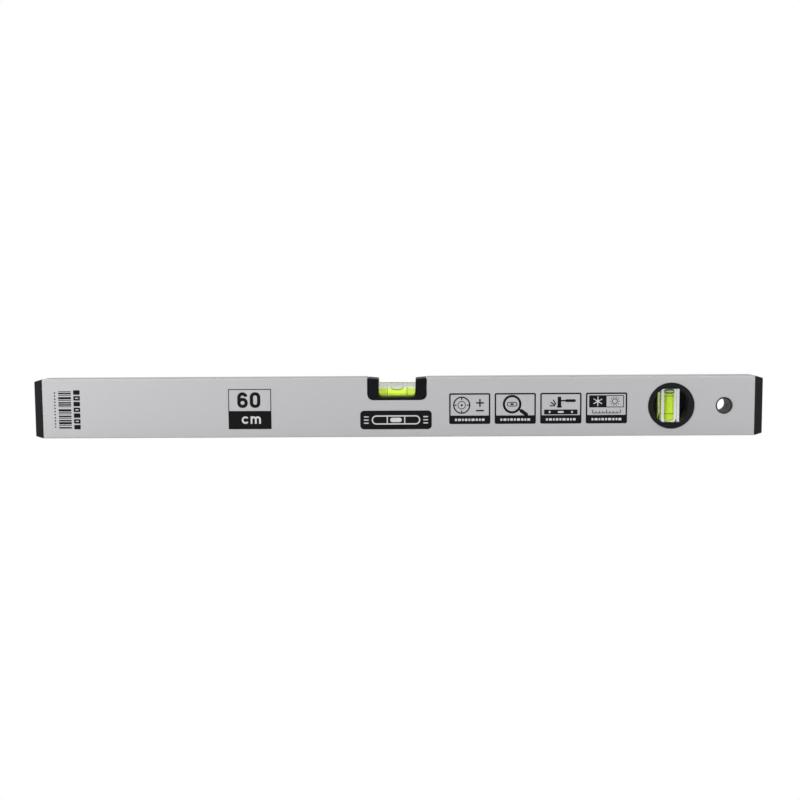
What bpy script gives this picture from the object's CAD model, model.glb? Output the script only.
"""The finish and surroundings of a 600 mm spirit level.

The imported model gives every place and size. The classes below give each of its pieces its visible
shape and surface: a satin painted profile, black mouldings, two clear vials with a yellow-green
filling, and the marks that are printed on the front face. Lengths are in metres.
"""

import logging
import math
from dataclasses import dataclass, replace
from enum import Enum
from typing import Callable, Sequence

import bmesh
import bpy
from mathutils import Matrix, Vector
from mathutils.geometry import tessellate_polygon

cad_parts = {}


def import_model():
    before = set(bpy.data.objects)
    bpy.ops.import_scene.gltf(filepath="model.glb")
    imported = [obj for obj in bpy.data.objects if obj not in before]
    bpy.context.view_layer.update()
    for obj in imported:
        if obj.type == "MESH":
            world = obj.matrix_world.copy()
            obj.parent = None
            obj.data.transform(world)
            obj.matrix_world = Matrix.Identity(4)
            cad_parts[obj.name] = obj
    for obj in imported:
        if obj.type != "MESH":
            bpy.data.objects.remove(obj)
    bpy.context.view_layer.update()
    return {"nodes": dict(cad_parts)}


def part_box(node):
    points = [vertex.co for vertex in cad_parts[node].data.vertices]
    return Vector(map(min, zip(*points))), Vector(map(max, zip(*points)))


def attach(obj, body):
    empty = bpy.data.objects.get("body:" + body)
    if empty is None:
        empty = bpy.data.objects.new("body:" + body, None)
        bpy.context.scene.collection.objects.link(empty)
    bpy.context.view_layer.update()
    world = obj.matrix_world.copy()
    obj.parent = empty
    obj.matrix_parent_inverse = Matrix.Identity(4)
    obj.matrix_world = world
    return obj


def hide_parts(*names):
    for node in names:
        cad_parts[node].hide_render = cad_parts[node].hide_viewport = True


MM = 0.001
LEVEL = "level"
EDGE_SEGMENTS = 3  # how many stretches a rounded edge has
EDGE_ANGLE = 24  # edges sharper than this many degrees are rounded
SHARP_ANGLE = 38  # where no edge is rounded, those sharper than this are shaded as sharp
WHITE = (1.0, 1.0, 1.0, 1.0)
FLAT_WEIGHT = 80  # how far the flat faces' normals win over the rounded edges'
LOG = logging.getLogger("spirit_level")

Colour = tuple[float, float, float]
Point = tuple[float, float]
Outline = list[Point]


class Slot(Enum):
    """The record's material slots."""

    PAINT = "profile_paint"
    CAP = "cap_plastic"
    HOUSING = "housing_plastic"
    STEEL = "screw_steel"
    ACRYLIC = "vial_acrylic"
    LIQUID = "vial_liquid"
    BUBBLE = "bubble_air"
    INK = "line_ink"
    SEAL = "vial_seal"


class Axis(Enum):
    """The row frame's axes."""

    X = 0
    Y = 1
    Z = 2


# ------------------------------------------------------------------------------ shader maths


class Signal:
    """A value that varies over a surface. Python's operators on it add Math nodes."""

    def __init__(self, bench: "Bench", socket: bpy.types.NodeSocket) -> None:
        """Wraps an output socket of a bench's tree."""
        self.bench = bench
        self.socket = socket

    def _math(self, operation: str, *values: "Signal | float") -> "Signal":
        """Adds a Math node and returns its result."""
        sockets = dict(enumerate(values))
        node = self.bench.add("ShaderNodeMath", {"operation": operation}, sockets)
        return Signal(self.bench, node.outputs[0])

    def __add__(self, other: "Signal | float") -> "Signal":
        """self + other."""
        return self._math("ADD", self, other)

    def __radd__(self, other: float) -> "Signal":
        """other + self."""
        return self._math("ADD", other, self)

    def __sub__(self, other: "Signal | float") -> "Signal":
        """self - other."""
        return self._math("SUBTRACT", self, other)

    def __rsub__(self, other: float) -> "Signal":
        """other - self."""
        return self._math("SUBTRACT", other, self)

    def __mul__(self, other: "Signal | float") -> "Signal":
        """self * other."""
        return self._math("MULTIPLY", self, other)

    def __rmul__(self, other: float) -> "Signal":
        """other * self."""
        return self._math("MULTIPLY", other, self)

    def size(self) -> "Signal":
        """The value without its sign."""
        return self._math("ABSOLUTE", self)

    def ramp(self, low: float, high: float) -> "Signal":
        """How far the value has gone from low to high, eased, from 0 to 1."""
        settings = {"interpolation_type": "SMOOTHSTEP"}
        sockets = {"Value": self, "From Min": low, "From Max": high}
        node = self.bench.add("ShaderNodeMapRange", settings, sockets)
        return Signal(self.bench, node.outputs["Result"])


class Bench:
    """A node tree, and the tools that add nodes to it."""

    def __init__(self, tree: bpy.types.NodeTree) -> None:
        """Empties the tree."""
        self.tree = tree
        self.tree.nodes.clear()

    def add(
        self,
        kind: str,
        settings: dict[str, object] | None = None,
        sockets: dict[str | int, object] | None = None,
    ) -> bpy.types.Node:
        """Adds one node.

        Args:
            kind: the node's type.
            settings: the node's own properties and a ramp's stops, which are set first.
            sockets: a value or a link for each input named or numbered here.

        Returns:
            The new node.
        """
        node = self.tree.nodes.new(kind)
        settings = dict(settings or {})
        for number, (position, colour) in enumerate(settings.pop("stops", ())):
            elements = node.color_ramp.elements
            element = elements[number] if number < len(elements) else elements.new(position)
            element.position = position
            element.color = (*colour, 1.0)
        for key, value in settings.items():
            setattr(node, key, value)
        for key, value in (sockets or {}).items():
            if isinstance(value, Signal):
                self.tree.links.new(value.socket, node.inputs[key])
            elif isinstance(value, bpy.types.NodeSocket):
                self.tree.links.new(value, node.inputs[key])
            else:
                node.inputs[key].default_value = value
        return node

    def place(self) -> bpy.types.NodeSocket:
        """Where the point is in the piece's own coordinates, in metres."""
        return self.add("ShaderNodeTexCoord").outputs["Object"]

    def along(self, axis: Axis) -> Signal:
        """The point's coordinate on one axis."""
        split = self.add("ShaderNodeSeparateXYZ", sockets={"Vector": self.place()})
        return Signal(self, split.outputs[axis.value])

    def grain(self, size: float, detail: float = 3.0, stretch: Colour = (1, 1, 1)) -> Signal:
        """Cloudy noise from 0 to 1.

        Args:
            size: how wide one cloud is.
            detail: how many finer layers are added.
            stretch: how much longer a cloud is along each axis.

        Returns:
            The noise.
        """
        shrink = tuple(1 / (size * factor) for factor in stretch)
        sockets = {0: self.place(), 1: shrink}
        scaled = self.add("ShaderNodeVectorMath", {"operation": "MULTIPLY"}, sockets)
        sockets = {"Vector": scaled.outputs[0], "Scale": 1.0, "Detail": detail}
        noise = self.add("ShaderNodeTexNoise", {"noise_dimensions": "3D"}, sockets)
        return Signal(self, noise.outputs[0])

    def blend(self, share: Signal, first: "Colour | Signal", second: "Colour | Signal") -> Signal:
        """Fades from one colour to another.

        Args:
            share: 0 for the first colour and 1 for the second.
            first: a colour.
            second: a colour.

        Returns:
            The faded colour.
        """
        first_in, second_in, colour_out = 6, 7, 2
        ends = [c if isinstance(c, Signal) else (*c, 1.0) for c in (first, second)]
        sockets = {0: share, first_in: ends[0], second_in: ends[1]}
        node = self.add("ShaderNodeMix", {"data_type": "RGBA"}, sockets)
        return Signal(self, node.outputs[colour_out])

    def graded(self, share: Signal, stops: Sequence[tuple[float, Colour]]) -> Signal:
        """A colour from a ramp.

        Args:
            share: where on the ramp, from 0 to 1.
            stops: the ramp's positions and colours, in order.

        Returns:
            The colour.
        """
        node = self.add("ShaderNodeValToRGB", {"stops": stops}, {"Fac": share})
        return Signal(self, node.outputs["Color"])

    def bump(self, height: Signal, depth: float, strength: float) -> Signal:
        """Turns a height from 0 to 1 into a bumped normal.

        Args:
            height: the height.
            depth: how high 1 is.
            strength: how much of it shows.

        Returns:
            The normal.
        """
        sockets = {"Height": height, "Distance": depth, "Strength": strength}
        node = self.add("ShaderNodeBump", sockets=sockets)
        return Signal(self, node.outputs["Normal"])

    def mirrored(self) -> Signal:
        """1 where a glossy surface mirrors this one, and 0 elsewhere, also through clear pieces."""
        path = self.add("ShaderNodeLightPath")
        glossy = Signal(self, path.outputs["Is Glossy Ray"])
        return glossy * (1 - Signal(self, path.outputs["Is Transmission Ray"]))

    def either(
        self,
        ray: str,
        first: bpy.types.NodeSocket,
        second: bpy.types.NodeSocket,
    ) -> bpy.types.NodeSocket:
        """Chooses a shader by the kind of ray that meets it.

        Args:
            ray: the Light Path output for the first shader's rays.
            first: the shader that those rays see.
            second: the shader that all the others see.

        Returns:
            The mixed shader.
        """
        chosen = self.add("ShaderNodeLightPath").outputs[ray]
        sockets = {0: chosen, 1: second, 2: first}
        return self.add("ShaderNodeMixShader", sockets=sockets).outputs[0]

    def principled(self, sockets: dict[str | int, object]) -> bpy.types.NodeSocket:
        """Adds a Principled surface."""
        return self.add("ShaderNodeBsdfPrincipled", sockets=sockets).outputs[0]

    def finish(self, surface: bpy.types.NodeSocket) -> None:
        """Links the finished surface to the output."""
        self.add("ShaderNodeOutputMaterial", sockets={"Surface": surface})


def new_material(name: str, viewport: Colour) -> tuple[bpy.types.Material, Bench]:
    """A material with an empty tree, and its bench.

    Args:
        name: the material's name.
        viewport: its colour in a plain view without lights.

    Returns:
        The material and the bench.
    """
    material = bpy.data.materials.new(name)
    material.use_nodes = True
    material.diffuse_color = (*viewport, 1.0)
    return material, Bench(material.node_tree)


# ---------------------------------------------------------------------------------- finishes


@dataclass(frozen=True)
class SatinPaint:
    """Silver-grey powder coat on extruded aluminium, with the extrusion's faint long streaks."""

    name: str = "satin_paint"
    dark: Colour = (0.455, 0.455, 0.468)
    light: Colour = (0.485, 0.485, 0.497)
    metallic: float = 0.25
    roughness: float = 0.42
    grain_size: float = 0.35 * MM
    streak_size: float = 0.9 * MM
    streak_length: float = 160.0

    def make(self) -> bpy.types.Material:
        """Builds the material."""
        material, bench = new_material(self.name, self.light)
        grain = bench.grain(self.grain_size, 2.0)
        streaks = bench.grain(self.streak_size, 2.0, (self.streak_length, 1, 1))
        mottle = 0.6 * streaks + 0.4 * grain
        bench.finish(
            bench.principled(
                {
                    "Base Color": bench.blend(mottle, self.dark, self.light),
                    "Metallic": self.metallic,
                    "Roughness": mottle * 0.12 + (self.roughness - 0.06),
                    "Normal": bench.bump(grain, 0.02 * MM, 0.25),
                }
            )
        )
        return material


@dataclass(frozen=True)
class Spill:
    """Light that a fluorescent liquid throws on the moulding round it.

    Each of the three pairs gives where the light is whole and where it ends: to the sides, towards
    the faces and upwards.
    """

    side: Point
    depth: Point
    height: Point
    colour: Colour = (0.085, 0.125, 0.015)

    def share(self, bench: Bench) -> Signal:
        """How much of the light there is, from 0 to 1."""
        side = bench.along(Axis.X).size().ramp(self.side[1], self.side[0])
        depth = bench.along(Axis.Y).size().ramp(self.depth[1], self.depth[0])
        return side * depth * bench.along(Axis.Z).ramp(self.height[1], self.height[0])


@dataclass(frozen=True)
class MouldedPlastic:
    """Black moulded plastic with the mould's fine spark-eroded grain."""

    name: str
    colour: Colour
    roughness: float
    grain_size: float
    grain_depth: float
    specular: float = 0.5
    spill: "Spill | None" = None

    def make(self) -> bpy.types.Material:
        """Builds the material."""
        material, bench = new_material(self.name, self.colour)
        grain = bench.grain(self.grain_size, 3.0)
        wear = bench.grain(9 * MM, 4.0)
        lighter = tuple(1.5 * channel for channel in self.colour)
        colour = bench.blend(wear * 0.7 + grain * 0.3, self.colour, lighter)
        if self.spill:
            colour = bench.blend(self.spill.share(bench), colour, self.spill.colour)
        bench.finish(
            bench.principled(
                {
                    "Base Color": colour,
                    "Roughness": wear * 0.10 + (grain * 0.08 + (self.roughness - 0.09)),
                    "Specular IOR Level": self.specular,
                    "Normal": bench.bump(grain, self.grain_depth, 0.6),
                }
            )
        )
        return material


@dataclass(frozen=True)
class ClearAcrylic:
    """Polished clear acrylic. Light passes straight through it to what is inside."""

    name: str = "clear_acrylic"
    tint: Colour = (0.955, 0.975, 0.955)
    roughness: float = 0.015
    ior: float = 1.49

    def make(self) -> bpy.types.Material:
        """Builds the material."""
        material, bench = new_material(self.name, self.tint)
        polish = bench.grain(3 * MM, 2.0)
        deeper = tuple(0.985 * channel for channel in self.tint)
        glass = bench.principled(
            {
                "Base Color": bench.blend(polish, self.tint, deeper),
                "Roughness": polish * 0.02 + self.roughness,
                "IOR": self.ior,
                "Transmission Weight": 1.0,
            }
        )
        clear = bench.add("ShaderNodeBsdfTransparent").outputs[0]
        bench.finish(bench.either("Is Shadow Ray", clear, glass))
        return material


@dataclass(frozen=True)
class LitLiquid:
    """A fluorescent liquid or what floats in it: it gathers light and glows a little.

    Its colours are given from the lowest height up.
    """

    name: str
    colours: tuple[tuple[float, Colour], ...]
    glow: float = 0.5
    roughness: float = 0.35

    def make(self) -> bpy.types.Material:
        """Builds the material."""
        (low, lowest), (high, _) = self.colours[0], self.colours[-1]
        material, bench = new_material(self.name, lowest)
        swirl = bench.grain(2.5 * MM, 2.0)
        share = (bench.along(Axis.Z) - low) * (1 / (high - low)) + (swirl - 0.5) * 0.08
        stops = [((height - low) / (high - low), colour) for height, colour in self.colours]
        colour = bench.graded(share, stops)
        bench.finish(
            bench.principled(
                {
                    "Base Color": colour,
                    "Roughness": swirl * 0.1 + self.roughness,
                    "Specular IOR Level": 0.2,
                    "Emission Color": colour,
                    "Emission Strength": self.glow,
                }
            )
        )
        return material


@dataclass(frozen=True)
class PrintedInk:
    """Screen-printed ink, which lets the paint's grain through."""

    name: str
    colour: Colour
    roughness: float = 0.45
    specular: float = 0.3

    def make(self) -> bpy.types.Material:
        """Builds the material."""
        material, bench = new_material(self.name, self.colour)
        grain = bench.grain(0.3 * MM, 2.0)
        thin = tuple(1.12 * channel + 0.004 for channel in self.colour)
        bench.finish(
            bench.principled(
                {
                    "Base Color": bench.blend(grain, self.colour, thin),
                    "Roughness": grain * 0.15 + (self.roughness - 0.07),
                    "Specular IOR Level": self.specular,
                    "Normal": bench.bump(grain, 0.01 * MM, 0.2),
                }
            )
        )
        return material


@dataclass(frozen=True)
class ZincPlate:
    """Bright zinc plate with fine turning marks."""

    name: str = "zinc_plate"
    colour: Colour = (0.62, 0.62, 0.60)

    def make(self) -> bpy.types.Material:
        """Builds the material."""
        material, bench = new_material(self.name, self.colour)
        marks = bench.grain(0.12 * MM, 2.0, (4, 4, 1))
        dull = tuple(0.8 * channel for channel in self.colour)
        bench.finish(
            bench.principled(
                {
                    "Base Color": bench.blend(marks, dull, self.colour),
                    "Metallic": 1.0,
                    "Roughness": marks * 0.2 + 0.22,
                    "Normal": bench.bump(marks, 0.01 * MM, 0.4),
                }
            )
        )
        return material


# -------------------------------------------------------------------------------- mesh tools


def arc(centre: Point, radius: float, start: float, end: float, steps: int) -> Outline:
    """Points along an arc.

    Args:
        centre: the arc's centre.
        radius: its radius.
        start: the first angle, in degrees.
        end: the last angle, in degrees.
        steps: how many stretches it has.

    Returns:
        The points, steps + 1 of them.
    """
    angles = [math.radians(start + (end - start) * i / steps) for i in range(steps + 1)]
    return [(centre[0] + radius * math.cos(a), centre[1] + radius * math.sin(a)) for a in angles]


def circle(centre: Point, radius: float, steps: int = 48) -> Outline:
    """A whole circle."""
    return arc(centre, radius, 0, 360, steps)[:-1]


def rounded_box(centre: Point, width: float, height: float, radius: float, steps: int = 6) -> Outline:
    """An upright rectangle with round corners.

    Args:
        centre: its middle.
        width: its whole width.
        height: its whole height.
        radius: the corners' radius.
        steps: how many stretches each corner has.

    Returns:
        The outline.
    """
    outline: Outline = []
    for turn, (u, v) in enumerate(((1, 1), (-1, 1), (-1, -1), (1, -1))):
        corner = (centre[0] + u * (width / 2 - radius), centre[1] + v * (height / 2 - radius))
        outline += arc(corner, radius, 90 * turn, 90 * turn + 90, steps)
    return outline


def stroke(start: Point, end: Point, width: float, rounded: bool = True) -> Outline:
    """A straight stroke of a pen.

    Args:
        start: where it starts.
        end: where it ends.
        width: its width.
        rounded: whether its ends are round.

    Returns:
        The outline.
    """
    angle = math.degrees(math.atan2(end[1] - start[1], end[0] - start[0]))
    steps = 8 if rounded else 1
    half = width / 2
    first = arc(end, half, angle - 90, angle + 90, steps)
    return first + arc(start, half, angle + 90, angle + 270, steps)


def across(axis: Axis, outline: Outline, station: float) -> list[Vector]:
    """Places a flat outline across an axis, at a station along it."""
    corners = []
    for point in outline:
        corner = list(point)
        corner.insert(axis.value, station)
        corners.append(Vector(corner))
    return corners


def skin(
    rings: Sequence[Sequence[Vector]],
    closed: bool = False,
    builder: bmesh.types.BMesh | None = None,
) -> bmesh.types.BMesh:
    """A solid through rings with as many points each.

    Args:
        rings: the rings, in order.
        closed: whether the last ring joins the first; otherwise both are filled.
        builder: the mesh builder that it is added to, or None for a new one.

    Returns:
        The mesh builder.
    """
    builder = builder or bmesh.new()
    rows = [[builder.verts.new(point) for point in ring] for ring in rings]
    pairs = list(zip(rows, rows[1:]))
    if closed:
        pairs.append((rows[-1], rows[0]))
    else:
        builder.faces.new(rows[0])
        builder.faces.new(rows[-1])
    for row, following in pairs:
        for i, corner in enumerate(row):
            j = (i + 1) % len(row)
            builder.faces.new((corner, row[j], following[j], following[i]))
    return builder


def turned(axis: Axis, profile: Outline, centre: Vector, steps: int = 96) -> bmesh.types.BMesh:
    """A solid of revolution.

    Args:
        axis: the axis that it is turned about.
        profile: a closed outline of (radius, station) points.
        centre: a point that the axis passes through, where the stations start.
        steps: how many stretches a turn has.

    Returns:
        The solid's mesh builder.
    """
    rings = []
    for k in range(steps):
        angle = math.tau * k / steps
        cos, sin = math.cos(angle), math.sin(angle)
        ring = []
        for radius, station in profile:
            flat = [radius * cos, radius * sin]
            flat.insert(axis.value, station)
            ring.append(Vector(flat) + centre)
        rings.append(ring)
    builder = skin(rings, closed=True)
    bmesh.ops.remove_doubles(builder, verts=builder.verts, dist=0.0005 * MM)
    return builder


@dataclass
class Piece:
    """One visible piece: its name, its body, its slot and the CAD nodes it stands for."""

    name: str
    slot: Slot
    body: str = LEVEL
    stands_for: tuple[str, ...] = ()

    def make(
        self,
        builder: bmesh.types.BMesh,
        material: bpy.types.Material,
        edge: float = 0.0,
    ) -> None:
        """Makes the object and puts it in the frame.

        Args:
            builder: the mesh, in the row frame. It is freed.
            material: the finish.
            edge: how wide the sharp edges' rounding is, or 0 to leave them.
        """
        bmesh.ops.recalc_face_normals(builder, faces=builder.faces)
        mesh = bpy.data.meshes.new(self.name)
        builder.to_mesh(mesh)
        builder.free()
        mesh.shade_smooth()
        mesh.materials.append(material)
        obj = bpy.data.objects.new(self.name, mesh)
        bpy.context.scene.collection.objects.link(obj)
        if edge:
            bevel = obj.modifiers.new("edges", "BEVEL")
            bevel.width = edge
            bevel.segments = EDGE_SEGMENTS
            bevel.limit_method = "ANGLE"
            bevel.angle_limit = math.radians(EDGE_ANGLE)
            bevel.use_clamp_overlap = False
            bevel.miter_outer = "MITER_ARC"
        else:
            mesh.set_sharp_from_angle(angle=math.radians(SHARP_ANGLE))
        weighted = obj.modifiers.new("flat_faces", "WEIGHTED_NORMAL")
        weighted.keep_sharp = True
        weighted.weight = FLAT_WEIGHT
        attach(obj, self.body)
        if self.stands_for:
            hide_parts(*self.stands_for)
        LOG.info("%s rides on %s and wears %s", self.name, self.body, material.name)


def cleaned(node: bpy.types.Object, flatten: bool) -> bmesh.types.BMesh:
    """A CAD piece's shape with its split edges merged.

    Args:
        node: the CAD node's object, which is only read.
        flatten: whether the triangles of a flat face become one face.

    Returns:
        A mesh builder with the same shape.
    """
    builder = bmesh.new()
    corners = [builder.verts.new(vertex.co) for vertex in node.data.vertices]
    for polygon in node.data.polygons:
        builder.faces.new([corners[i] for i in polygon.vertices])
    bmesh.ops.remove_doubles(builder, verts=builder.verts, dist=0.0008 * MM)
    if flatten:
        bmesh.ops.dissolve_limit(
            builder,
            angle_limit=math.radians(0.6),
            verts=builder.verts,
            edges=builder.edges,
        )
    return builder


# ------------------------------------------------------------------------------ sub-assemblies


@dataclass
class Workshop:
    """The frame and the finishes that every sub-assembly uses."""

    nodes: dict[str, bpy.types.Object]
    moulding: MouldedPlastic
    paint: bpy.types.Material
    cap: bpy.types.Material
    housing: bpy.types.Material
    acrylic: bpy.types.Material
    seal: bpy.types.Material
    steel: bpy.types.Material

    def refine(
        self,
        node: str,
        name: str,
        slot: Slot,
        material: bpy.types.Material,
        edge: float,
        flatten: bool = True,
    ) -> None:
        """Makes a piece from a CAD node's own shape, with rounded edges.

        Args:
            node: the CAD node that the piece stands for.
            name: the piece's name.
            slot: its material slot.
            material: its finish.
            edge: how wide the rounding is.
            flatten: whether the triangles of a flat face become one face.
        """
        piece = Piece(name, slot, stands_for=(node,))
        piece.make(cleaned(self.nodes[node], flatten), material, edge)

    def dress(self, node: str, material: bpy.types.Material) -> None:
        """Gives a CAD node that keeps its own shape a better finish."""
        obj = self.nodes[node]
        obj.data.materials.clear()
        obj.data.materials.append(material)
        LOG.info("%s wears %s", node, material.name)


@dataclass
class Body:
    """The extruded profile and its two end caps."""

    cut_edge: float = 0.14 * MM
    cap_edge: float = 0.25 * MM

    def build(self, shop: Workshop) -> None:
        """Builds the profile and the caps.

        Args:
            shop: the frame's nodes and the finishes.
        """
        shop.refine("aluminium_profile", "profile_skin", Slot.PAINT, shop.paint, self.cut_edge)
        for side in ("left", "right"):
            shop.refine(f"end_cap_{side}", f"cap_{side}", Slot.CAP, shop.cap, self.cap_edge)


@dataclass
class Vial:
    """What both vials have: a bored block, the liquid in it and the lines round its bore."""

    name: str
    along: Axis
    line_width: float
    bore: float = 4.0 * MM
    line_proud: float = 0.05 * MM
    soft: float = 0.6 * MM  # how round the liquid's ends are
    steps: int = 48

    def __post_init__(self) -> None:
        """Reads the vial's places from the frame."""
        self.low, self.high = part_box(f"{self.name}_vial_block")
        plug_low, plug_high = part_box(f"{self.name}_vial_plug")
        self.axis = (plug_low + plug_high) / 2
        self.fill_low, self.fill_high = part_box(f"{self.name}_vial_liquid")

    def fill(self, finish: LitLiquid) -> None:
        """Makes the liquid that fills the bore.

        Args:
            finish: its finish.
        """
        origin = self.axis[self.along.value]
        start = self.fill_low[self.along.value] - origin
        end = self.fill_high[self.along.value] - origin
        tip = self.bore - self.soft
        half = [(0.0, start)] + arc((tip, start + self.soft), self.soft, -90, 0, 5)
        half += arc((tip, end - self.soft), self.soft, 0, 90, 5) + [(0.0, end)]
        piece = Piece(f"{self.name}_liquid", Slot.LIQUID, stands_for=(f"{self.name}_vial_liquid",))
        piece.make(turned(self.along, half, self.axis), finish.make())

    def line(self, place: str, ink: bpy.types.Material) -> None:
        """Makes one of the lines round the bore.

        Args:
            place: which of the two it is.
            ink: its finish.
        """
        node = f"{self.name}_vial_line_{place}"
        low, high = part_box(node)
        centre = self.axis.copy()
        centre[self.along.value] = (low[self.along.value] + high[self.along.value]) / 2
        thick = 0.2 * MM
        middle = self.bore + self.line_proud - thick / 2
        band = rounded_box((middle, 0), thick, self.line_width, thick / 5, 2)
        piece = Piece(f"{self.name}_line_{place}", Slot.INK, stands_for=(node,))
        piece.make(turned(self.along, band, centre), ink)


@dataclass
class LevelVial(Vial):
    """The vial in the notch: its holder, block, liquid, bubble and lines."""

    name: str = "level"
    along: Axis = Axis.X
    line_width: float = 0.55 * MM
    crown: float = 1.1 * MM
    block_edge: float = 0.05 * MM
    block_rise: float = 0.5 * MM
    holder_edge: float = 0.22 * MM
    sill_depth: float = 3.4 * MM
    sill: float = 34.2 * MM
    window_half: float = 14.9 * MM
    fillet: float = 2.0 * MM
    bubble_length: float = 11.4 * MM
    bubble_angle: float = 72.0  # from the top of the bore to the bubble's edge, in degrees
    bubble_fullness: float = 2.8
    bubble_proud: float = 0.04 * MM
    rim: float = 0.34 * MM
    sides: int = 12  # how many stretches the bubble has across

    def build(self, shop: Workshop) -> None:
        """Builds the vial and its holder.

        Args:
            shop: the frame's nodes and the finishes.
        """
        spill = Spill(
            side=(0.97 * self.high.x, self.high.x - self.low.x),
            depth=(self.high.y, self.high.y + self.sill_depth),
            height=(self.axis.z - self.bore, self.axis.z + self.bore),
        )
        black = replace(shop.moulding, name="holder_black", spill=spill).make()
        shop.refine("level_vial_holder", "level_holder", Slot.HOUSING, black, self.holder_edge)
        shop.dress("level_vial_retainer", shop.housing)
        shop.dress("retainer_screw_left", shop.steel)
        shop.dress("retainer_screw_right", shop.steel)
        shop.dress("level_vial_plug", shop.seal)
        self.fillets(black)
        self.block(shop.acrylic)
        self.liquid()
        self.lines()
        self.bubble()

    def fillets(self, material: bpy.types.Material) -> None:
        """The round corners where the sill meets the arms, in front of and behind the vial.

        Args:
            material: the holder's finish.
        """
        builder = bmesh.new()
        buried, sunk = 0.1 * MM, 0.3 * MM  # how far they reach into the arms and the sill
        clear, depth = 0.04 * MM, 0.9 * MM  # where they start and end, from the vial's faces
        low = self.sill - sunk
        for side in (-1, 1):
            wall = side * (self.window_half + buried)
            corner = (side * (self.window_half - self.fillet), self.sill + self.fillet)
            bow = arc(corner, self.fillet, 270, 270 + side * 90, 8)
            outline = [(wall, low), (bow[0][0], low), *bow, (wall, bow[-1][1])]
            for facing in (-1, 1):
                ends = [facing * (self.high.y + reach) for reach in (clear, depth)]
                skin([across(Axis.Y, outline, end) for end in ends], builder=builder)
        Piece("holder_fillets", Slot.HOUSING).make(builder, material)

    def block(self, material: bpy.types.Material) -> None:
        """The clear block, with its crowned top.

        Args:
            material: its finish.
        """
        half = (self.high.y - self.low.y) / 2
        radius = (half**2 + self.crown**2) / (2 * self.crown)
        sweep = math.degrees(math.asin(half / radius))
        top = arc((0, self.high.z + self.block_rise - radius), radius, 90 - sweep, 90 + sweep, 16)
        outline = top + [(-half, self.low.z), (half, self.low.z)]
        rings = [across(Axis.X, outline, self.low.x), across(Axis.X, outline, self.high.x)]
        piece = Piece("level_block", Slot.ACRYLIC, stands_for=("level_vial_block",))
        piece.make(skin(rings), material, self.block_edge)

    def liquid(self) -> None:
        """The liquid, paler towards its top."""
        colours = (
            (self.axis.z - self.bore, (0.49, 0.68, 0.046)),
            (self.axis.z - 0.2 * self.bore, (0.48, 0.67, 0.046)),
            (self.axis.z + 0.40 * self.bore, (0.39, 0.48, 0.04)),
            (self.axis.z + 0.80 * self.bore, (0.42, 0.44, 0.34)),
        )
        self.fill(LitLiquid("level_liquid_lime", colours))

    def lines(self) -> None:
        """The two lines round the bore."""
        colours = (
            (self.axis.z, (0.10, 0.155, 0.006)),
            (self.axis.z + 0.6 * self.bore, (0.11, 0.155, 0.008)),
            (self.axis.z + self.bore, (0.30, 0.33, 0.20)),
        )
        ink = LitLiquid("level_line_green", colours, glow=0.2).make()
        for place in ("left", "right"):
            self.line(place, ink)

    def edge_angle(self, share: float) -> float:
        """How far down the bore the bubble's edge is.

        Args:
            share: from -1 at the bubble's left end to 1 at its right end.

        Returns:
            The angle from the top, in radians.
        """
        left_over = max(0.0, 1 - abs(share) ** self.bubble_fullness)
        return math.radians(self.bubble_angle) * left_over ** (1 / self.bubble_fullness)

    def bubble(self) -> None:
        """The air bubble, and the dark rim where the liquid climbs to it."""
        low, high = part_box("level_vial_bubble")
        middle = (low.x + high.x) / 2
        reach = self.bore + self.bubble_proud
        rings = []
        rim = []
        for i in range(1, self.steps):
            share = -math.cos(math.pi * i / self.steps)
            spread = self.edge_angle(share)
            station = middle + share * self.bubble_length / 2
            ring = []
            for k in range(self.sides + 1):
                angle = spread * (1 - 2 * k / self.sides)
                ring.append((reach * math.sin(angle), self.axis.z + reach * math.cos(angle)))
            rings.append(across(Axis.X, ring, station))
            rim.append(rings[-1][0])
        edge_height = self.axis.z + reach * math.cos(math.radians(self.bubble_angle))
        colours = (
            (edge_height, (0.37, 0.45, 0.15)),
            (edge_height + 1.2 * MM, (0.34, 0.375, 0.265)),
            (self.axis.z + self.bore, (0.36, 0.38, 0.32)),
        )
        pale = LitLiquid("level_bubble_pale", colours, glow=0.2).make()
        piece = Piece("level_bubble", Slot.BUBBLE, "level_bubble", ("level_vial_bubble",))
        piece.make(skin(rings), pale)
        path = rim + [Vector((point.x, -point.y, point.z)) for point in reversed(rim)]
        colours = (
            (edge_height, (0.05, 0.075, 0.006)),
            (edge_height + 2.0 * MM, (0.26, 0.31, 0.14)),
        )
        dark = LitLiquid("level_rim_green", colours, glow=0.2).make()
        Piece("level_bubble_rim", Slot.BUBBLE, "level_bubble").make(tube(path, self.rim), dark)


def tube(path: Sequence[Vector], radius: float, sides: int = 8) -> bmesh.types.BMesh:
    """A round bead along a closed path.

    Args:
        path: the points it follows.
        radius: its radius.
        sides: how many sides it has.

    Returns:
        The bead's mesh builder.
    """
    rings = []
    count = len(path)
    for i, point in enumerate(path):
        ahead = (path[(i + 1) % count] - path[i - 1]).normalized()
        side = ahead.cross(Vector((0, 0, 1))).normalized()
        up = side.cross(ahead)
        ring = []
        for k in range(sides):
            angle = math.tau * k / sides
            ring.append(point + radius * (math.cos(angle) * side + math.sin(angle) * up))
        rings.append(ring)
    return skin(rings, closed=True)


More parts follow.
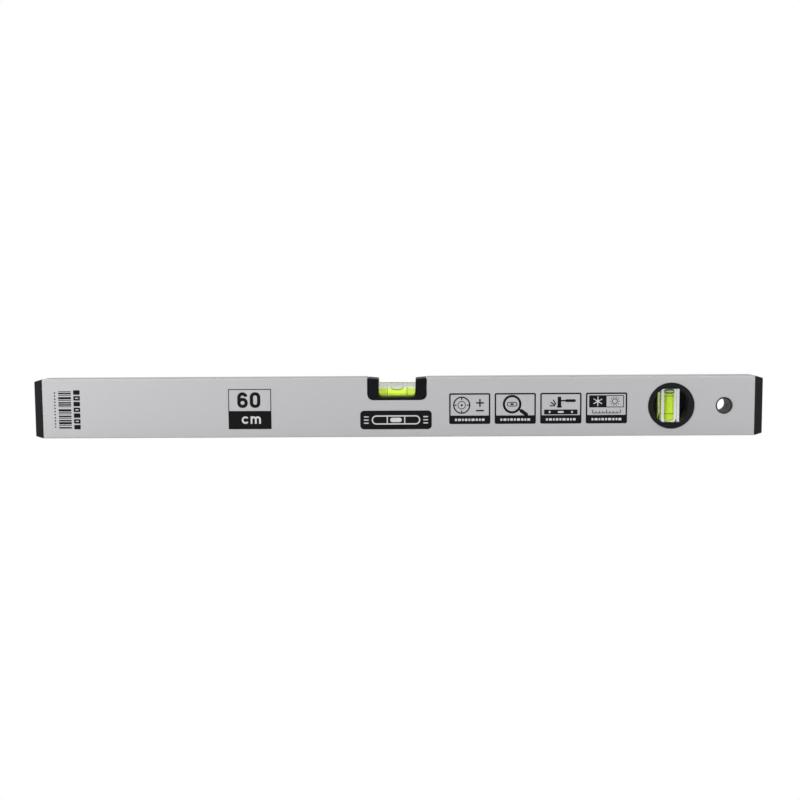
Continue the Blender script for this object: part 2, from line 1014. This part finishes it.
@dataclass
class PlumbVial(Vial):
    """The upright vial in its round housing."""

    name: str = "plumb"
    along: Axis = Axis.Z
    line_width: float = 0.62 * MM
    block_corner: float = 0.25 * MM
    block_edge: float = 0.15 * MM
    housing_edge: float = 0.3 * MM
    rear_edge: float = 0.12 * MM
    web_window: float = 7.2 * MM  # from the vial's axis to the side of the rear web's window
    web_relief: float = 0.55 * MM  # how far its right side is eased, clear of the block
    bubble_height: float = 3.9 * MM
    bubble_proud: float = 0.07 * MM
    bubble_rise: float = 0.45 * MM
    bubble_soft: float = 1.2 * MM  # how round the bubble's ends are
    rim: float = 0.6 * MM
    rim_reach: float = 72.0  # how far round the bore a rim reaches from its middle, in degrees

    def build(self, shop: Workshop) -> None:
        """Builds the vial and both halves of its housing.

        Args:
            shop: the frame's nodes and the finishes.
        """
        black = replace(shop.moulding, name="bezel_black", colour=(0.0065, 0.0062, 0.0085)).make()
        edge = self.housing_edge
        shop.refine("plumb_housing_front", "bezel_front", Slot.HOUSING, black, edge, False)
        shape = cleaned(shop.nodes["plumb_housing_rear"], False)
        for corner in shape.verts:
            aside = corner.co.x - self.axis.x
            if abs(aside - self.web_window) < 0.05 * MM:
                corner.co.x += self.web_relief
        rear = Piece("bezel_rear", Slot.HOUSING, stands_for=("plumb_housing_rear",))
        rear.make(shape, black, self.rear_edge)
        shop.dress("plumb_vial_plug", shop.seal)
        self.block(shop.acrylic)
        self.liquid()
        self.lines()
        self.bubble()

    def block(self, material: bpy.types.Material) -> None:
        """The clear block.

        Args:
            material: its finish.
        """
        middle = (self.low + self.high) / 2
        size = self.high - self.low
        outline = rounded_box((middle.x, middle.y), size.x, size.y, self.block_corner)
        rings = [across(Axis.Z, outline, self.low.z), across(Axis.Z, outline, self.high.z)]
        piece = Piece("plumb_block", Slot.ACRYLIC, stands_for=("plumb_vial_block",))
        piece.make(skin(rings), material, self.block_edge)

    def liquid(self) -> None:
        """The liquid, brighter towards its top."""
        middle = (self.fill_low.z + self.fill_high.z) / 2
        colours = (
            (self.fill_low.z, (0.34, 0.48, 0.018)),
            (middle, (0.31, 0.45, 0.012)),
            (middle + 1.3 * self.bore, (0.35, 0.50, 0.018)),
            (self.fill_high.z, (0.50, 0.70, 0.06)),
        )
        self.fill(LitLiquid("plumb_liquid_lime", colours))

    def lines(self) -> None:
        """The two lines round the bore."""
        colours = ((self.low.z, (0.12, 0.17, 0.006)), (self.high.z, (0.15, 0.21, 0.006)))
        ink = LitLiquid("plumb_line_green", colours, glow=0.2).make()
        for place in ("lower", "upper"):
            self.line(place, ink)

    def bubble(self) -> None:
        """The bubble, with the dark rims where its ends bend the light."""
        low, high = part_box("plumb_vial_bubble")
        middle = (low.z + high.z) / 2 + self.bubble_rise
        reach = self.bore + self.bubble_proud
        half, soft = self.bubble_height / 2, self.bubble_soft
        outline = [(0.0, -half)] + arc((reach - soft, soft - half), soft, -90, 0, 6)
        outline += arc((reach - soft, half - soft), soft, 0, 90, 6) + [(0.0, half)]
        centre = Vector((self.axis.x, self.axis.y, middle))
        colours = ((middle - half, (0.46, 0.55, 0.20)), (middle + half, (0.46, 0.55, 0.36)))
        pale = LitLiquid("plumb_bubble_pale", colours).make()
        piece = Piece("plumb_bubble", Slot.BUBBLE, "plumb_bubble", ("plumb_vial_bubble",))
        piece.make(turned(Axis.Z, outline, centre), pale)
        colours = ((middle - half, (0.06, 0.10, 0.008)), (middle + half, (0.025, 0.05, 0.010)))
        dark = LitLiquid("plumb_rim_green", colours, glow=0.2).make()
        radius = self.bore - 0.3 * self.rim
        for place, facing in (("front", -1), ("rear", 1)):
            path = []
            for k in range(self.steps):
                angle = math.tau * k / self.steps
                swing = math.radians(self.rim_reach) * math.cos(angle)
                rise = (half - self.rim) * math.sin(angle)
                offset = Vector((radius * math.sin(swing), facing * radius * math.cos(swing), rise))
                path.append(centre + offset)
            rim = Piece(f"plumb_bubble_rim_{place}", Slot.BUBBLE, "plumb_bubble")
            rim.make(tube(path, self.rim), dark)


@dataclass
class HangingHole:
    """The two bush halves that line the hanging hole."""

    edge: float = 0.12 * MM

    def build(self, shop: Workshop) -> None:
        """Builds both halves.

        Args:
            shop: the frame's nodes and the finishes.
        """
        lining = replace(shop.moulding, name="bush_black", colour=(0.024, 0.024, 0.025), specular=0.6)
        black = lining.make()
        for side in ("front", "rear"):
            shop.refine(f"hang_bush_{side}", f"bush_{side}", Slot.HOUSING, black, self.edge, False)


# ------------------------------------------------------------------------------ printed marks


class Stencil:
    """Flat marks drawn in X and Z, which become closed plates of ink on the front face."""

    def __init__(self, name: str, ink: bpy.types.Material, lift: float = 0.03 * MM) -> None:
        """Starts an empty stencil.

        Args:
            name: the piece's name.
            ink: its finish.
            lift: how far its plates stand out from the face.
        """
        self.name = name
        self.ink = ink
        self.lift = lift
        self.sunk = 0.02 * MM
        self.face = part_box("aluminium_profile")[0].y
        self.builder = bmesh.new()

    def plate(self, outer: Outline, holes: Sequence[Outline] = (), raised: float = 0.0) -> None:
        """Adds one plate of ink.

        Args:
            outer: its outline.
            holes: the outlines of any openings in it.
            raised: how much further than the others it stands out.
        """
        loops = [outer, *holes]
        flat = [across(Axis.Y, loop, self.face - self.lift - raised) for loop in loops]
        deep = [across(Axis.Y, loop, self.face + self.sunk) for loop in loops]
        triangles = tessellate_polygon(flat)
        fronts = [[self.builder.verts.new(point) for point in loop] for loop in flat]
        backs = [[self.builder.verts.new(point) for point in loop] for loop in deep]
        for rows in (fronts, backs):
            corners = [vertex for loop in rows for vertex in loop]
            for triangle in triangles:
                self.builder.faces.new([corners[i] for i in triangle])
        for front, back in zip(fronts, backs):
            for i, corner in enumerate(front):
                self.builder.faces.new((corner, front[i - 1], back[i - 1], back[i]))

    def line(self, start: Point, end: Point, width: float, rounded: bool = False) -> None:
        """Adds a straight stroke. The arguments are those of the function stroke."""
        self.plate(stroke(start, end, width, rounded))

    def ray(
        self,
        centre: Point,
        angle: float,
        reach: Point,
        width: float,
        rounded: bool = False,
        raised: float = 0.0,
    ) -> None:
        """Adds a stroke that points away from a centre.

        Args:
            centre: the centre.
            angle: the stroke's direction, in degrees.
            reach: how far from the centre it starts and ends.
            width: its width.
            rounded: whether its ends are round.
            raised: how much further than the others it stands out.
        """
        u, v = math.cos(math.radians(angle)), math.sin(math.radians(angle))
        start, end = ((centre[0] + u * far, centre[1] + v * far) for far in reach)
        self.plate(stroke(start, end, width, rounded), (), raised)

    def print(self) -> None:
        """Makes the piece."""
        Piece(self.name, Slot.INK).make(self.builder, self.ink)


Drawing = Callable[[Stencil, Stencil, Point], None]


@dataclass
class Prints:
    """The front face's marks: a size, a badge, four pictograms, and columns of bars and blocks."""

    middle: float = 23.15 * MM
    box_width: float = 33.9 * MM
    box_height: float = 25.5 * MM
    box_pitch: float = 37.45 * MM
    first_box: float = 59.8 * MM
    frame: float = 1.25 * MM
    banner: float = 7.0 * MM
    dashes: tuple[float, ...] = (1.6, 2.5, 1.3, 2.1, 1.6, 2.6, 1.8, 1.4, 2.3)  # in millimetres
    on_top: float = 0.05 * MM

    def __post_init__(self) -> None:
        """Makes the inks."""
        self.ink = PrintedInk("black_ink", (0.0035, 0.0035, 0.0038), specular=0.2).make()
        self.bare = PrintedInk("bare_ink", (0.47, 0.47, 0.48), roughness=0.42, specular=0.5).make()

    def dark(self, name: str) -> Stencil:
        """A stencil for black ink."""
        return Stencil(name, self.ink)

    def light(self, name: str) -> Stencil:
        """A stencil for marks in the paint's own colour, which lie on top of black ones."""
        return Stencil(name, self.bare, self.on_top)

    def build(self) -> None:
        """Prints every mark."""
        self.size_mark()
        self.badge()
        drawings: tuple[tuple[str, Drawing], ...] = (
            ("accuracy", self.draw_accuracy),
            ("magnifier", self.draw_magnifier),
            ("shock", self.draw_shock),
            ("weather", self.draw_weather),
        )
        for number, (name, draw) in enumerate(drawings):
            centre = (self.first_box + number * self.box_pitch, self.middle)
            self.pictogram(name, centre, draw)
        self.bars()
        self.blocks()

    def digits(self, stencil: Stencil, centre: Point) -> None:
        """A bold 60.

        Args:
            stencil: what they are drawn with.
            centre: the middle of the two digits.
        """
        width, height, pen, gap = 8.7 * MM, 13.0 * MM, 2.75 * MM, 1.7 * MM
        low = centre[1] - height / 2
        six = centre[0] - (width + gap) / 2
        bowl_height = 8.4 * MM
        bowl = (six, low + bowl_height / 2)
        eye = rounded_box(bowl, width - 2 * pen, bowl_height - 1.9 * pen, 1.4 * MM)
        stencil.plate(rounded_box(bowl, width, bowl_height, 4.0 * MM), [eye])
        bend = (six, low + height - width / 2)
        hook = arc(bend, width / 2, 14, 180, 20) + [(six - width / 2, bowl[1])]
        hook += [(six - width / 2 + pen, bowl[1])] + arc(bend, width / 2 - pen, 180, 14, 12)
        stencil.plate(hook, (), 0.004 * MM)
        zero = (centre[0] + (width + gap) / 2, centre[1])
        eye = rounded_box(zero, width - 2 * pen, height - 1.9 * pen, (width - 2 * pen) / 2.02)
        stencil.plate(rounded_box(zero, width, height, 4.0 * MM), [eye])

    def unit(self, stencil: Stencil, centre: Point) -> None:
        """The letters c and m.

        Args:
            stencil: what they are drawn with.
            centre: the middle of the two letters.
        """
        height, pen, arch = 6.2 * MM, 1.45 * MM, 1.75 * MM
        low = centre[1] - height / 2
        radius = height / 2
        c = (centre[0] - 3.9 * MM, centre[1])
        stencil.plate(arc(c, radius, 38, 322, 30) + arc(c, radius - pen, 322, 38, 24))
        left = centre[0] + 0.4 * MM
        top = low + height - arch
        for leg in range(3):
            x = left + leg * 2 * arch
            stencil.plate([(x, low), (x + pen, low), (x + pen, top), (x, top)])
        stem = rounded_box((left + pen / 2, centre[1]), pen, height, 0.05 * MM, 1)
        stencil.plate(stem, (), 0.003 * MM)
        outer = arch + pen / 2
        for bow in range(2):
            middle = (left + bow * 2 * arch + outer, top - pen / 2)
            ring = arc(middle, outer, 0, 180, 16) + arc(middle, outer - pen, 180, 0, 12)
            stencil.plate(ring, (), (0.005 + 0.002 * bow) * MM)

    def size_mark(self) -> None:
        """The box that gives the level's length."""
        centre = (-121.65 * MM, 23.65 * MM)
        width, height, divider, line = 35.5 * MM, 33.3 * MM, 22.1 * MM, 0.7 * MM
        low = centre[1] - height / 2
        window_height = low + height - line - divider
        window_centre = (centre[0], divider + window_height / 2)
        window = rounded_box(window_centre, width - 2 * line, window_height, 0.1 * MM, 2)
        box = self.dark("size_box")
        box.plate(rounded_box(centre, width, height, 0.25 * MM), [window])
        self.digits(box, (centre[0] - 0.75 * MM, 31.15 * MM))
        box.print()
        letters = self.light("size_unit")
        self.unit(letters, (centre[0] + 0.1 * MM, (low + divider) / 2))
        letters.print()

    def badge(self) -> None:
        """A plain badge with a vial on it."""
        centre = (-1.0 * MM, 14.1 * MM)
        black = self.dark("badge_field")
        black.plate(rounded_box(centre, 59 * MM, 15.5 * MM, 3.2 * MM))
        black.print()
        light = self.light("badge_vial")
        width, height, line = 40 * MM, 7.6 * MM, 1.0 * MM
        outer, inner, bubble = (
            rounded_box(centre, wide, high, high / 2 - 0.01 * MM, 10)
            for wide, high in (
                (width, height),
                (width - 2 * line, height - 2 * line),
                (9.5 * MM, 3.6 * MM),
            )
        )
        light.plate(outer, [inner])
        light.plate(bubble)
        for side in (-1, 1):
            x = centre[0] + side * 7.2 * MM
            light.line((x, centre[1] - 2.7 * MM), (x, centre[1] + 2.7 * MM), 0.9 * MM)
            x = centre[0] + side * 24.5 * MM
            for rise in (-2.6, 0, 2.6):
                z = centre[1] + rise * MM
                light.line((x - 1.6 * MM, z), (x + 1.6 * MM, z), 0.9 * MM, True)
        light.print()

    def pictogram(self, name: str, centre: Point, draw: Drawing) -> None:
        """One framed pictogram with a black banner below it.

        Args:
            name: what it shows.
            centre: the middle of its frame.
            draw: draws the picture, given the dark stencil, the light one and the picture's middle.
        """
        dark = self.dark(f"pictogram_{name}")
        light = self.light(f"pictogram_{name}_light")
        low = centre[1] - self.box_height / 2
        window_height = self.box_height - self.banner - self.frame
        window_centre = (centre[0], low + self.banner + window_height / 2)
        window = rounded_box(window_centre, self.box_width - 2 * self.frame, window_height, 0.4 * MM)
        dark.plate(rounded_box(centre, self.box_width, self.box_height, 1.4 * MM), [window])
        draw(dark, light, window_centre)
        gap = 0.9
        x = centre[0] - (sum(self.dashes) + gap * (len(self.dashes) - 1)) / 2 * MM
        for width in self.dashes:
            middle = (x + width * MM / 2, low + self.banner / 2)
            light.plate(rounded_box(middle, width * MM, 1.9 * MM, 0.3 * MM, 3))
            x += (width + gap) * MM
        dark.print()
        light.print()

    def draw_accuracy(self, dark: Stencil, light: Stencil, centre: Point) -> None:
        """A target, and a plus over a minus.

        Args:
            dark: the stencil for black ink.
            light: the stencil for the marks on top of it.
            centre: the picture's middle.
        """
        target = (centre[0] - 6.6 * MM, centre[1])
        dark.plate(circle(target, 7.1 * MM), [circle(target, 6.05 * MM)])
        dark.plate(circle(target, 3.4 * MM), [circle(target, 2.8 * MM)])
        dark.plate(circle(target, 0.9 * MM, 20))
        for turn in range(4):
            dark.ray(target, 90 * turn, (4.3 * MM, 6.4 * MM), 0.9 * MM)
        plus = (centre[0] + 8.4 * MM, centre[1] + 1.8 * MM)
        arm, pen = 3.3 * MM, 1.2 * MM
        dark.ray(plus, 0, (-arm, arm), pen)
        for side in (-90, 90):
            dark.ray(plus, side, (0.55 * MM, arm), pen)
        dark.ray((plus[0], centre[1] - 4.6 * MM), 0, (-arm, arm), pen)

    def draw_magnifier(self, dark: Stencil, light: Stencil, centre: Point) -> None:
        """A magnifier over a small vial.

        Args:
            dark: the stencil for black ink.
            light: the stencil for the marks on top of it.
            centre: the picture's middle.
        """
        lens = (centre[0] - 2.6 * MM, centre[1] + 0.6 * MM)
        dark.plate(circle(lens, 7.7 * MM), [circle(lens, 5.8 * MM)])
        dark.ray(lens, -36, (7.2 * MM, 9.4 * MM), 1.3 * MM)
        dark.ray(lens, -36, (9.4 * MM, 14.4 * MM), 3.0 * MM, True)
        vial = rounded_box(lens, 8.6 * MM, 3.8 * MM, 1.85 * MM)
        dark.plate(vial, [rounded_box(lens, 7.2 * MM, 2.4 * MM, 1.15 * MM)])
        dark.plate(rounded_box(lens, 2.9 * MM, 1.5 * MM, 0.7 * MM))

    def draw_shock(self, dark: Stencil, light: Stencil, centre: Point) -> None:
        """A hammer that strikes a level.

        Args:
            dark: the stencil for black ink.
            light: the stencil for the marks on top of it.
            centre: the picture's middle.
        """
        bar = (centre[0], centre[1] - 6.0 * MM)
        dark.plate(rounded_box(bar, 27.5 * MM, 4.0 * MM, 0.3 * MM, 2))
        light.plate(rounded_box(bar, 5.0 * MM, 1.5 * MM, 0.7 * MM))
        for side in (-1, 1):
            light.plate(circle((bar[0] + side * 9.2 * MM, bar[1]), 0.85 * MM, 20))
        head = (centre[0] - 1.2 * MM, centre[1] + 2.3 * MM)
        dark.plate(rounded_box(head, 2.9 * MM, 8.6 * MM, 0.5 * MM, 3))
        dark.plate(rounded_box((head[0], head[1] - 4.0 * MM), 3.9 * MM, 1.4 * MM, 0.4 * MM, 3))
        grip = (head[0] + 1.4 * MM, head[1] + 1.0 * MM)
        dark.ray(grip, 0, (0.0, 4.4 * MM), 1.3 * MM)
        dark.ray(grip, 0, (4.6 * MM, 11.0 * MM), 2.3 * MM, True)
        root = (head[0] - 2.2 * MM, head[1] - 3.2 * MM)
        for angle in (120, 150, 180):
            dark.ray(root, angle, (1.8 * MM, 5.4 * MM), 1.0 * MM, True)

    def draw_weather(self, dark: Stencil, light: Stencil, centre: Point) -> None:
        """Frost and sun over a plain scale.

        Args:
            dark: the stencil for black ink.
            light: the stencil for the marks on top of it.
            centre: the picture's middle.
        """
        sky = (centre[0], centre[1] + 2.6 * MM)
        width, height, line = 28.5 * MM, 10.0 * MM, 0.6 * MM
        sun_width = width / 2 - line
        sun = (sky[0] + sun_width / 2, sky[1])
        window = rounded_box(sun, sun_width, height - 2 * line, 0.1 * MM, 2)
        dark.plate(rounded_box(sky, width, height, 0.3 * MM, 3), [window])
        frost = (sky[0] - width / 4, sky[1])
        for turn in range(3):
            reach = (-3.7 * MM, 3.7 * MM)
            light.ray(frost, 60 * turn + 28.648, reach, 0.75 * MM, True, turn * 0.002 * MM)
        dark.plate(circle(sun, 2.3 * MM, 32), [circle(sun, 1.7 * MM, 32)])
        for turn in range(10):
            dark.ray(sun, 36 * turn, (2.9 * MM, 4.0 * MM), line)
        scale = centre[1] - 5.9 * MM
        half = 11.5 * MM
        dark.ray((centre[0], scale - 1.1 * MM), 0, (-half, half), line)
        for tick in range(9):
            x = centre[0] - half + 2 * half * tick / 8
            top = scale + (1.6 * MM if tick % 4 == 0 else 0.5 * MM)
            dark.line((x, scale - 0.75 * MM), (x, top), line)

    def bars(self) -> None:
        """A column of plain bars with a row of small dashes beside it."""
        left, right = -280.2 * MM, -269.7 * MM
        low, high = 8.3 * MM, 39.2 * MM
        widths = (1, 2, 1, 3, 1, 2, 2, 1, 3, 1, 1, 2, 1, 2, 3, 1, 2)
        gaps = (1, 1, 2, 1, 2, 1, 1, 3, 1, 1, 2, 1, 2, 1, 1, 2)
        module = (high - low) / (sum(widths) + sum(gaps))
        dark = self.dark("bar_column")
        z = high
        for width, gap in zip(widths, (*gaps, 0)):
            middle = ((left + right) / 2, z - width * module / 2)
            dark.plate(rounded_box(middle, right - left, width * module, 0.02 * MM, 1))
            z -= (width + gap) * module
        for dash in range(12):
            z = high - (high - low) * (dash + 0.5) / 12
            dark.plate(rounded_box((left - 3.0 * MM, z), 1.2 * MM, 1.1 * MM, 0.2 * MM, 2))
        dark.print()

    def blocks(self) -> None:
        """A column of plain blocks, where a tool usually has its article number."""
        left, right = -267.7 * MM, -262.3 * MM
        low, high = 7.0 * MM, 40.6 * MM
        count = 7
        pitch = (high - low) / count
        dark = self.dark("block_column")
        for number in range(count):
            centre = ((left + right) / 2, high - (number + 0.5) * pitch)
            outer = rounded_box(centre, right - left, pitch - 1.1 * MM, 0.5 * MM, 3)
            slot = rounded_box(centre, (right - left) * 0.5, 0.9 * MM, 0.3 * MM, 3)
            dark.plate(outer, [slot] if number % 2 else [])
        dark.print()


# ------------------------------------------------------------------------------ surroundings


@dataclass
class Softbox:
    """A soft rectangular studio light."""

    name: str
    place: Colour
    size: Point
    power: float
    aim: Colour = (0.0, 0.0, 0.025)
    colour: Colour = (1.0, 1.0, 1.0)

    def build(self) -> None:
        """Makes the light."""
        light = bpy.data.lights.new(self.name, "AREA")
        light.shape = "RECTANGLE"
        light.size, light.size_y = self.size
        light.energy = self.power
        light.color = self.colour
        obj = bpy.data.objects.new(self.name, light)
        bpy.context.scene.collection.objects.link(obj)
        obj.visible_glossy = False
        obj.location = self.place
        gaze = Vector(self.aim) - Vector(self.place)
        obj.rotation_euler = gaze.to_track_quat("-Z", "Y").to_euler()
        LOG.info("light %s", self.name)


@dataclass
class Studio:
    """A white floor and background, soft light, and the camera."""

    floor_radius: float = 6.0
    front_light: float = 0.2
    mirrored: float = 0.4
    back_light: float = 0.75
    lens: float = 50.4
    sensor: float = 36.0
    eye: Colour = (0.0150, -0.9295, 0.1162)
    yaw: float = -0.7856
    pitch: float = 5.3244
    roll: float = -0.37

    def build(self) -> None:
        """Makes the whole set."""
        self.camera()
        self.floor()
        self.surroundings()
        for light in (
            Softbox("key_left", (-0.75, -0.60, 0.525), (0.5, 0.5), 10.7),
            Softbox("fill_right", (0.75, -0.60, 0.525), (0.5, 0.5), 6.8),
            Softbox("top", (0.0, 0.15, 1.5), (1.6, 0.8), 6.0),
        ):
            light.build()
        view = bpy.context.scene.view_settings
        view.view_transform = "Standard"
        view.look = "None"

    def camera(self) -> None:
        """The camera, in front of the level and a little above it."""
        yaw, pitch, roll = (math.radians(angle) for angle in (self.yaw, self.pitch, self.roll))
        away = math.cos(pitch)
        ahead = Vector((math.sin(yaw) * away, math.cos(yaw) * away, -math.sin(pitch)))
        level_right = Vector((math.cos(yaw), -math.sin(yaw), 0))
        level_up = level_right.cross(ahead)
        right = level_right * math.cos(roll) + level_up * math.sin(roll)
        up = level_up * math.cos(roll) - level_right * math.sin(roll)
        data = bpy.data.cameras.new("camera")
        data.lens = self.lens
        data.sensor_width = self.sensor
        data.clip_start = 0.01
        obj = bpy.data.objects.new("camera", data)
        bpy.context.scene.collection.objects.link(obj)
        turn = Matrix((right, up, -ahead)).transposed().to_4x4()
        obj.matrix_world = Matrix.Translation(self.eye) @ turn
        bpy.context.scene.camera = obj

    def floor(self) -> None:
        """A pale floor that runs out of sight, bright enough to show no shadow."""
        deep = -2 * MM
        outline = [(self.floor_radius, deep), (self.floor_radius, 0.0), (0.0, 0.0), (0.0, deep)]
        mesh = bpy.data.meshes.new("floor")
        builder = turned(Axis.Z, outline, Vector((0, 0, 0)), 64)
        bmesh.ops.recalc_face_normals(builder, faces=builder.faces)
        builder.to_mesh(mesh)
        builder.free()
        obj = bpy.data.objects.new("floor", mesh)
        bpy.context.scene.collection.objects.link(obj)
        material, bench = new_material("pale_floor", (1, 1, 1))
        speckle = bench.grain(40 * MM, 2.0)
        pale = bench.blend(speckle, (0.60, 0.60, 0.60), (0.62, 0.62, 0.62))
        dim = (0.6 * self.mirrored,) * 3
        colour = bench.blend(bench.mirrored(), pale, dim)
        paper = bench.principled({"Base Color": colour, "Roughness": 0.8})
        lit = bench.add("ShaderNodeEmission", sockets={"Color": WHITE, "Strength": 1.0}).outputs[0]
        bench.finish(bench.either("Is Camera Ray", lit, paper))
        mesh.materials.append(material)

    def surroundings(self) -> None:
        """A white background, whose light is softer from the front than from behind."""
        world = bpy.data.worlds.new("studio")
        world.use_nodes = True
        bpy.context.scene.world = world
        bench = Bench(world.node_tree)
        ray = bench.add("ShaderNodeTexCoord").outputs["Generated"]
        depth = Signal(bench, bench.add("ShaderNodeSeparateXYZ", sockets={"Vector": ray}).outputs[1])
        span = self.back_light - self.front_light
        dimming = 1 - (1 - self.mirrored) * bench.mirrored()
        strength = (depth.ramp(-1.0, 0.6) * span + self.front_light) * dimming
        soft, white = (
            bench.add("ShaderNodeBackground", sockets={"Color": WHITE, "Strength": power}).outputs[0]
            for power in (strength, 1.0)
        )
        mixed = bench.either("Is Camera Ray", white, soft)
        bench.add("ShaderNodeOutputWorld", sockets={"Surface": mixed})


def main() -> None:
    """Loads the frame, and builds every sub-assembly and the studio around it."""
    logging.basicConfig(level=logging.INFO, format="%(name)s: %(message)s")
    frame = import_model()

    Studio().build()
    moulding = MouldedPlastic(
        name="housing_black",
        colour=(0.0028, 0.0028, 0.0045),
        roughness=0.3,
        grain_size=0.16 * MM,
        grain_depth=0.006 * MM,
        specular=0.32,
    )
    cap = MouldedPlastic(
        name="cap_black",
        colour=(0.009, 0.009, 0.010),
        roughness=0.48,
        grain_size=0.22 * MM,
        grain_depth=0.02 * MM,
        specular=0.3,
    )
    seal_colours = ((0.0, (0.62, 0.78, 0.30)), (0.05, (0.66, 0.80, 0.34)))
    shop = Workshop(
        nodes=frame["nodes"],
        moulding=moulding,
        paint=SatinPaint().make(),
        cap=cap.make(),
        housing=moulding.make(),
        acrylic=ClearAcrylic().make(),
        seal=LitLiquid("pressed_seal", seal_colours, glow=0.1).make(),
        steel=ZincPlate().make(),
    )
    Body().build(shop)
    LevelVial().build(shop)
    PlumbVial().build(shop)
    HangingHole().build(shop)
    Prints().build()


if __name__ == "__main__":
    main()
